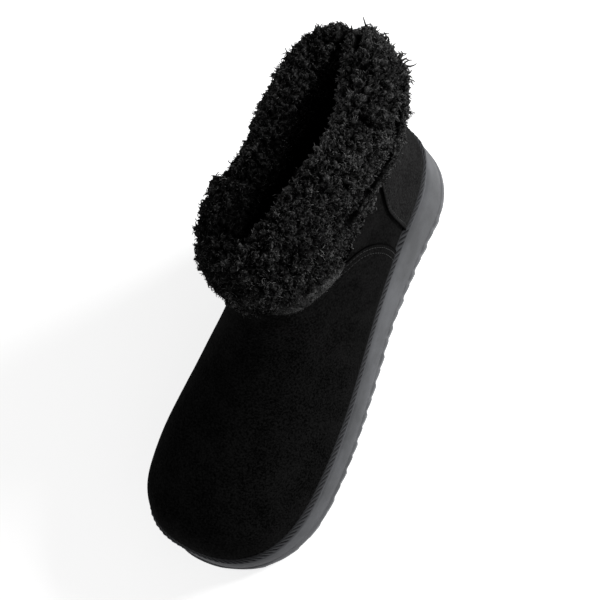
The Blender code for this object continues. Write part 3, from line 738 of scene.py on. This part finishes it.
def fleece(name, root_colour, tip_colour):
    """Curly wool, matt: greyer at the tips of its curls, and near black in the depth of a tuft, there
    partly painted shade.
    """
    material, tree, shader, place = new_material(name)
    tip = node(tree, "Attribute", attribute_name="tip").outputs["Fac"]
    shade = node(tree, "Attribute", attribute_name="shade").outputs["Fac"]
    fuzz = node(tree, "TexNoise", {"Vector": place, "Scale": cells(FUZZ_SIZE), "Detail": 3.0,
                                   "Roughness": 0.7, "Distortion": 1.2})
    fibres = node(tree, "MapRange", {"Value": fuzz.outputs["Fac"], "From Min": 0.36, "From Max": 0.66})
    lit = node(tree, "Math", {0: tip, 1: shade}, operation="MULTIPLY")
    both = node(tree, "Math", {0: lit.outputs[0], 1: fibres.outputs["Result"]}, operation="MULTIPLY")
    share = node(tree, "MapRange", {"Value": both.outputs[0], "From Min": 0.0, "From Max": 0.36})
    rising = node(tree, "Math", {0: share.outputs["Result"], 1: 1.35}, operation="POWER")
    colour = node(tree, "Mix", {0: rising.outputs[0], 6: linear(root_colour), 7: linear(tip_colour)},
                  data_type="RGBA")
    tree.links.new(colour.outputs[2], shader.inputs["Base Color"])
    bump = node(tree, "Bump", {"Height": fuzz.outputs["Fac"], "Strength": 0.9, "Distance": 0.6 * MM})
    tree.links.new(bump.outputs["Normal"], shader.inputs["Normal"])
    shader.inputs["Roughness"].default_value = 0.85
    shader.inputs["Specular IOR Level"].default_value = 0.0
    return material


cuff_mesh = refined(cad_mesh("cuff"), 3)
places, normals = vertex_places(cuff_mesh)
far_rim = eased(places[:, 0], 2, 14) * eased(places[:, 2], 132, 150)
front_swell = eased(places[:, 1], -38, -36) * (1 - eased(places[:, 1], -12, 22))
rear_press = eased(places[:, 1], -122, -104) * (1 - eased(places[:, 1], -38, -36))
swell = far_rim * (FAR_RIM_SWELL * front_swell - FAR_RIM_PRESS * rear_press)
lobe = np.linalg.norm(places - np.array(BACK_LOBE), axis=1)
swell += LOBE_RISE * np.exp(-((lobe / LOBE_SIZE) ** 2))
for dent, depth, size in DENTS:
    swell -= depth * np.exp(-((np.linalg.norm(places - np.array(dent), axis=1) / size) ** 2))
bearing = np.degrees(np.arctan2(places[:, 0], places[:, 1] - CUFF_MIDDLE))
low_edge = 1 - eased(places[:, 2], 116, 142)
flare = low_edge * eased(bearing, -62, -40) * (1 - eased(bearing, -27, -12))
tuck = low_edge * eased(bearing, -22, -8) * (1 - eased(bearing, 12, 30))
outwards = np.stack([places[:, 0], places[:, 1] - CUFF_MIDDLE, 0 * bearing], axis=1)
outwards /= np.linalg.norm(outwards, axis=1, keepdims=True)
places += outwards * (HEM_FLARE * flare - HEM_TUCK * tuck)[:, None]
places[:, 2] += HEM_RAISE * tuck
inner_leg = eased(places[:, 0], 1, 4) * (1 - eased(places[:, 0], 11, 16))
inner_leg *= 1 - eased(places[:, 2], 150, 162)
inner_leg *= eased(places[:, 1], -112, -98) * (1 - eased(places[:, 1], -22, -6)) * (normals[:, 0] < 0.3)
places[:, 0] += INNER_PRESS * inner_leg
near_rim = eased(places[:, 1], -104, -90) * (1 - eased(places[:, 1], -68, -52)) * (places[:, 0] < -4)
places[:, 0] -= NEAR_RIM_PRESS * near_rim * eased(normals[:, 0], -0.2, 0.5) * eased(places[:, 2], 140, 150)
waves = np.array([noise.noise(Vector(place) * 0.07) + 0.8 * noise.noise(Vector(place) * 0.15)
                  for place in places])
waves *= WAVE_HEIGHT * (1 - 0.75 * low_edge * eased(places[:, 1], -50, -30))
move_vertices(cuff_mesh, places + normals * (swell + waves)[:, None])

places, normals = vertex_places(cuff_mesh)
roots = places - 2.0 * normals
crease_gap = np.minimum(gap_to_line(roots, BACK_CREASE)[0],
                        gap_to_line(roots, SIDE_CREASE)[0] + SIDE_CREASE_NARROWER)
for wool_gap in WOOL_GAPS:
    crease_gap = np.minimum(crease_gap, gap_to_line(roots, wool_gap)[0] + WOOL_GAP_NARROWER)
fold_gap, fold_foot = gap_to_line(roots, FOLD_CREASE)
fold_share = height_at(FOLD_OPEN, fold_foot)
groove = SEWN_DEPTH * np.exp(-((crease_gap / SEWN_WIDTH) ** 2))
groove = groove + FOLD_DEPTH * fold_share * np.exp(-((fold_gap / FOLD_WIDTH) ** 2))
# The fold's painted shade reaches a little below its line, shifted down by FOLD_SHADOW.
under_gap = gap_to_line(roots + np.array(FOLD_SHADOW), FOLD_CREASE)[0]
open_fold = 1 - fold_share * (1 - eased(np.minimum(fold_gap, under_gap), 1.2, 3.6))
laid = 0.8 * fold_share * (1 - eased(fold_gap, 4, 8))
away = places - gap_to_line(places, CUFF_CORE)[1]
outer_face = (away[:, :2] * normals[:, :2]).sum(1) > 0
hem = outer_face * eased(height_at(HEM_TOP, places) - places[:, 2], -1.5, 2.5)
flap = outer_face * eased(height_at(FLAP_TOP, places) - places[:, 2], -1, 3)
rise, own = tufted(places, TUFT_SPACING, TUFT_STRAY, 7)
small_rise, small_own = tufted(places, LOCK_SPACING, LOCK_STRAY, 9)
split = 1 - eased(np.abs([noise.noise(Vector(place) * 0.12) for place in places]), 0.0, 0.08)
tuft = TUFT_DEPTH * (0.45 + 0.9 * own) * rise * (1 - 0.5 * np.maximum(flap, laid))
tuft = tuft - TUFT_SINK - SPLIT_DEPTH * split - groove
lock = LOCK_DEPTH * (0.5 + small_own) * small_rise
hem_nap = 0.35 * lock - 0.2
move_vertices(cuff_mesh, places + normals * ((tuft + lock) * (1 - hem) + hem_nap * hem)[:, None])
black_fleece = fleece("curly_wool_fleece", "#020202", "#767676")
cuff = finish_piece("fleece_cuff", cuff_mesh, black_fleece)
# The base pile is lighter on the tops of the tufts, partly from the wool's greyer tips. It is darker in
# the splits, sewn creases and pressed fold, which is painted shade there.
rise *= 1 - 0.6 * split
rise *= eased(crease_gap, 0.8, 2.8) * open_fold
paint(cuff, "tip", np.maximum(rise ** 1.4 * at_least(0.2, small_rise), 0.85 * hem))
# Painted shade on the wool: darker deep inside the opening, below the dark line, which sits lower on the
# near side.
sunk = height_at(DARK_LINE, places) - places[:, 2] - NEAR_SIDE_LOWER * (1 - eased(places[:, 0], -6, 0))
painted_shade_and_light = 1 - DEEP_DIMMING * (1 - outer_face) * eased(sunk, -15, 5)
# Painted shade towards the front and on the far side, away from the key light.
painted_shade_and_light *= np.interp(places[:, 1], (-75, -15), (1, 0.72)) * (1 - 0.2 * eased(places[:, 0], -2, 8))
# Painted light on the inner face of the near rim, where the key light catches it.
painted_shade_and_light *= 1 + 1.1 * near_rim * eased(normals[:, 0], -0.1, 0.4)
# Painted shade in the sewn creases, the gaps between tufts and the pressed fold.
painted_shade_and_light *= at_least(CREASE_LIGHT, eased(crease_gap, 0.8, 2.8)) * at_least(FOLD_LIGHT, open_fold)
# Each tuft's own random tone, times the painted shade and light.
paint(cuff, "shade", (0.2 + 0.3 * own) * painted_shade_and_light)
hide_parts("cuff")


# ---- Curls -----------------------------------------------------------------------------------
# The wool itself: crimped staple fibres that leave the pile in bent locks, thick at the root and
# fine at the tip, with a few long guard hairs that have worked loose from the fleece.
CURL_LENGTH = 2.6
CURL_THICK = 0.66
HEM_CURL_LENGTH = 1.5
CURL_SINK = 0.3
CURL_SPREAD = 0.95
# Each kind of curl: how far it bends round and how far it turns aside, in radians.
CURL_BENDS = ((1.2, 0.5), (1.8, 1.0), (2.3, -0.8), (2.7, 1.4))


def curl_shape(bend, twist, thick):
    """A unit-long tapered lock, bent round by the first angle and turned sideways by the second."""
    mesh = bmesh.new()
    bmesh.ops.create_cone(mesh, cap_ends=False, segments=3, radius1=0.5, radius2=0.2, depth=1.0,
                          matrix=Matrix.Translation((0, 0, 0.5)))
    upright = [edge for edge in mesh.edges if abs(edge.verts[0].co.z - edge.verts[1].co.z) > 0.5]
    bmesh.ops.subdivide_edges(mesh, edges=upright, cuts=2, use_grid_fill=False)
    tip_loop = [edge for edge in mesh.edges if edge.is_boundary and edge.verts[0].co.z > 0.9]
    bmesh.ops.holes_fill(mesh, edges=tip_loop)
    root_loop = [edge for edge in mesh.edges if edge.is_boundary]
    bmesh.ops.holes_fill(mesh, edges=root_loop)
    bmesh.ops.recalc_face_normals(mesh, faces=mesh.faces)
    heights = np.array([vert.co.z for vert in mesh.verts])
    for vert, height in zip(mesh.verts, heights):
        angle = bend * height
        side, across = vert.co.x * thick, vert.co.y * thick
        vert.co.x = (1 - math.cos(angle)) / bend + side * math.cos(angle)
        vert.co.z = math.sin(angle) / bend - side * math.sin(angle)
        vert.co.y = across + 0.25 * math.sin(twist * 2 * height)
    return mesh, heights


def surface_samples(piece, count, wanted, seed):
    """Random places on a piece's faces, spread by area and by the share wanted at each vertex."""
    data = piece.data
    data.calc_loop_triangles()
    corners = np.empty(len(data.loop_triangles) * 3, int)
    data.loop_triangles.foreach_get("vertices", corners)
    corners = corners.reshape(-1, 3)
    points = np.empty(len(data.vertices) * 3)
    data.vertices.foreach_get("co", points)
    points = points.reshape(-1, 3)
    first, second, third = (points[corners[:, side]] for side in range(3))
    normals = np.cross(second - first, third - first)
    area = np.linalg.norm(normals, axis=1)
    normals /= np.maximum(area, 1e-15)[:, None]
    dice = np.random.default_rng(seed)
    weight = area * wanted[corners].mean(1)
    picked = dice.choice(len(corners), count, p=weight / weight.sum())
    share = dice.dirichlet((1, 1, 1), count)
    places = np.einsum("nk,nkj->nj", share, points[corners[picked]])
    return places, normals[picked], corners[picked], share, dice


def curl_frames(places, headings, length, dice):
    """Frames that stand curls along their headings, each turned about its own length at random."""
    headings = headings / np.linalg.norm(headings, axis=1, keepdims=True)
    side = np.cross(headings, dice.normal(size=headings.shape))
    side /= np.linalg.norm(side, axis=1, keepdims=True)
    other = np.cross(headings, side)
    scale = (length * MM)[:, None]
    return np.stack([side * scale, other * scale, headings * scale, places], axis=2)


def curls(name, count, wanted, seed, reach=1.0):
    """One joined mesh of curls over a part of the cuff."""
    places, normals, corners, share, dice = surface_samples(cuff, count, wanted, seed)
    flat = (np.maximum(hem, laid)[corners] * share).sum(1)
    height = (rise[corners] * share).sum(1)
    own_shade = (own[corners] * share).sum(1)
    deep = (painted_shade_and_light[corners] * share).sum(1)
    loose = dice.normal(size=normals.shape)
    down = np.array((0, 0, -1.0)) * flat[:, None]
    headings = normals * (1 - 0.5 * flat)[:, None] + CURL_SPREAD * loose + down
    length = (CURL_LENGTH * (1 - flat) + HEM_CURL_LENGTH * flat) * dice.uniform(0.65, 1.25, count) * reach
    frames = curl_frames(places - normals * CURL_SINK * MM, headings, length, dice)
    made, tips, shades = [[], [], []], [], []
    kinds = dice.integers(0, len(CURL_BENDS), count)
    for kind, (bend, twist) in enumerate(CURL_BENDS):
        shape, heights = curl_shape(bend, twist, CURL_THICK / CURL_LENGTH)
        own_frames = frames[kinds == kind]
        points, _, faces = joined_copies(shape, own_frames)
        offset = sum(len(block) for block in made[0])
        made[0].append(points)
        made[2].extend([index + offset for index in face] for face in faces)
        # Each curl's shade: a random tone, with painted shade where its root lies low between tufts and
        # where the cuff is painted in shade.
        shade = 0.3 + 0.4 * own_shade[kinds == kind] + 0.5 * dice.random(len(own_frames)) ** 2
        tips.append(np.tile(heights, len(own_frames)))
        shade *= at_least(0.15, height[kinds == kind]) * deep[kinds == kind]
        shades.append(np.repeat(shade, len(heights)))
        shape.free()
    piece = finish_piece(name, (np.concatenate(made[0]), [], made[2]), black_fleece)
    paint(piece, "tip", np.concatenate(tips))
    paint(piece, "shade", np.concatenate(shades))


clear = eased(crease_gap, 1.8, 4.0) * at_least(0.5, open_fold)
near_side = outer_face & (places[:, 0] < 0)
curls("curls_near_side", 9990, near_side * clear, 11)
curls("curls_far_side", 8500, (outer_face & (places[:, 0] >= 0)) * clear, 12)
seen_wall = np.where(places[:, 0] > 0, 1, at_least(0.2, eased(normals[:, 2], 0.0, 0.4)))
curls("curls_inside", 9990, (~outer_face) * eased(places[:, 2], 105, 140) * clear * seen_wall, 13)
fringe = near_side * (1 - eased(places[:, 1], -104, -92)) * eased(places[:, 2], 118, 126)
curls("curls_back_fringe", 420, fringe * (1 - eased(places[:, 2], 146, 154)), 14, reach=1.7)


# ---- Guard hairs -----------------------------------------------------------------------------
# Longer, straighter, lighter hairs that have worked out of the fleece: two loose wisps on the
# outer side of the fold, and single hairs here and there.
HAIR_LENGTH = 7.0
HAIR_THICK = 0.22
HAIR_SPREAD = 0.9
WISPS = ((-29, -66, 159), (-16, 1.6, 156), (-29, -20.6, 146))
WISP_SIZE = 2.6
WISP_HAIRS = 54
SINGLE_HAIRS = 60


def guard_hairs():
    """Frames for the wisps and the single hairs, on the outer face of the cuff."""
    gaps = [np.linalg.norm(places - np.array(wisp), axis=1) for wisp in WISPS]
    near_wisp = sum(np.exp(-((gap / WISP_SIZE) ** 2)) for gap in gaps)
    frames = []
    for count, wanted in ((WISP_HAIRS, near_wisp), (SINGLE_HAIRS, outer_face * (1 - hem))):
        feet, normals_at, _, _, dice = surface_samples(cuff, count, wanted + 1e-9, 21)
        headings = normals_at * 0.6 + HAIR_SPREAD * dice.normal(size=feet.shape)
        headings *= np.sign((headings * normals_at).sum(1))[:, None]
        length = HAIR_LENGTH * dice.uniform(0.4, 1.0, count)
        frames.append(curl_frames(feet - normals_at * CURL_SINK * MM, headings, length, dice))
    return np.concatenate(frames)


hair, hair_heights = curl_shape(2.2, 1.2, HAIR_THICK / HAIR_LENGTH)
hair_frames = guard_hairs()
grey_hair = fleece("loose_guard_hair", "#1c1c1c", "#9c9c9c")
hairs = finish_piece("guard_hairs", joined_copies(hair, hair_frames), grey_hair)
paint(hairs, "tip", np.tile(0.5 + 0.5 * hair_heights, len(hair_frames)))
paint(hairs, "shade", np.ones(len(hair_heights) * len(hair_frames)))
hair.free()


# ---- Lining and footbed ----------------------------------------------------------------------
# The same fleece with a shorter pile, glued to the inside of the upper and over the footbed.
LINING_LIFT = 0.9
LINING_THICK = 0.6
FOOTBED_LIFT = 0.6
PILE_STRAY = 1.2


def short_pile(mesh, lift, seed):
    """Raise a fleece surface into low tufts; gives how far up its tuft each vertex stands."""
    at, facing = vertex_places(mesh)
    pile, _ = tufted(at, TUFT_SPACING, PILE_STRAY, seed)
    move_vertices(mesh, at + facing * (lift * at_least(0.3, pile))[:, None])
    return pile


lining_mesh = smooth_upper(1)
keep_side(lining_mesh, False)
lining_pile = short_pile(lining_mesh, LINING_LIFT, 31)
lining_fleece = fleece("short_fleece_lining", "#020202", "#2a2a2a")
lining = finish_piece("fleece_lining", lining_mesh, lining_fleece)
# Lighter on the tops of the tufts, partly the wool's greyer tips, and darker in the gaps between, which is
# painted shade.
paint(lining, "tip", lining_pile)
paint(lining, "shade", np.full(len(lining_pile), 0.5))
backing = lining.modifiers.new("thickness", "SOLIDIFY")
backing.thickness = LINING_THICK * MM
backing.offset = -1

footbed_mesh = refined(cad_mesh("insole"), 2)
footbed_pile = short_pile(footbed_mesh, FOOTBED_LIFT, 33)
footbed = finish_piece("fleece_footbed", footbed_mesh, lining_fleece)
# Lighter on the tops of the tufts, partly the wool's greyer tips, and darker in the gaps between, which is
# painted shade.
paint(footbed, "tip", footbed_pile)
paint(footbed, "shade", np.full(len(footbed_pile), 0.5))
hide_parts("insole")


# ---- Floor, light and camera -----------------------------------------------------------------
# A plain pale floor that glows softly, under soft studio light, seen steeply from above on the outer side.
CAMERA_AT = (-238.0, 79.3, 706.1)
CAMERA_AIM = (-1.3, -11.2, 61.9)
CAMERA_ROLL = math.radians(-45.2)
CAMERA_LENS = 78.0
LIGHT_AIM = (0, 0, 0.08)

floor_mesh = bmesh.new()
bmesh.ops.create_grid(floor_mesh, x_segments=1, y_segments=1, size=6.0)
floor_data = bpy.data.meshes.new("floor")
floor_mesh.to_mesh(floor_data)
floor_mesh.free()
floor = bpy.data.objects.new("floor", floor_data)
bpy.context.scene.collection.objects.link(floor)
glowing_floor = bpy.data.materials.new("glowing_white_floor")
glowing_floor.use_nodes = True
floor_glow_shader = glowing_floor.node_tree.nodes["Principled BSDF"]
floor_glow_shader.inputs["Base Color"].default_value = linear("#f6f6f6")
floor_glow_shader.inputs["Roughness"].default_value = 0.9
floor_glow_shader.inputs["Specular IOR Level"].default_value = 0.1
# The floor glows softly: painted light that keeps the boot's shadow on it pale.
floor_glow_shader.inputs["Emission Color"].default_value = (1, 1, 1, 1)
floor_glow_shader.inputs["Emission Strength"].default_value = 0.66
floor_data.materials.append(glowing_floor)

world = bpy.data.worlds.new("white_room")
world.use_nodes = True
world.node_tree.nodes["Background"].inputs["Color"].default_value = (1, 1, 1, 1)
world.node_tree.nodes["Background"].inputs["Strength"].default_value = 0.27
bpy.context.scene.world = world


def soft_light(name, at, power, size):
    """A square softbox aimed at the middle of the boot."""
    lamp = bpy.data.lights.new(name, "AREA")
    lamp.energy = power
    lamp.size = size
    holder = bpy.data.objects.new(name, lamp)
    holder.location = at
    holder.rotation_mode = "QUATERNION"
    holder.rotation_quaternion = (Vector(LIGHT_AIM) - Vector(at)).to_track_quat("-Z", "Y")
    bpy.context.scene.collection.objects.link(holder)


soft_light("key_softbox", at=(-1.0, -1.1, 0.75), power=26.0, size=0.5)
soft_light("fill_softbox", at=(1.3, 0.6, 1.0), power=2.0, size=1.2)

lens = bpy.data.cameras.new("camera")
lens.lens = CAMERA_LENS
lens.clip_start = 0.01
camera = bpy.data.objects.new("camera", lens)
backward = (Vector(CAMERA_AT) - Vector(CAMERA_AIM)).normalized()
level = Vector((0, 0, 1)).cross(backward).normalized()
right = math.cos(CAMERA_ROLL) * level + math.sin(CAMERA_ROLL) * backward.cross(level)
turn = Matrix((right, backward.cross(right), backward)).transposed()
camera.matrix_world = Matrix.Translation(Vector(CAMERA_AT) * MM) @ turn.to_4x4()
bpy.context.scene.collection.objects.link(camera)
bpy.context.scene.camera = camera
bpy.context.scene.view_settings.view_transform = "Standard"
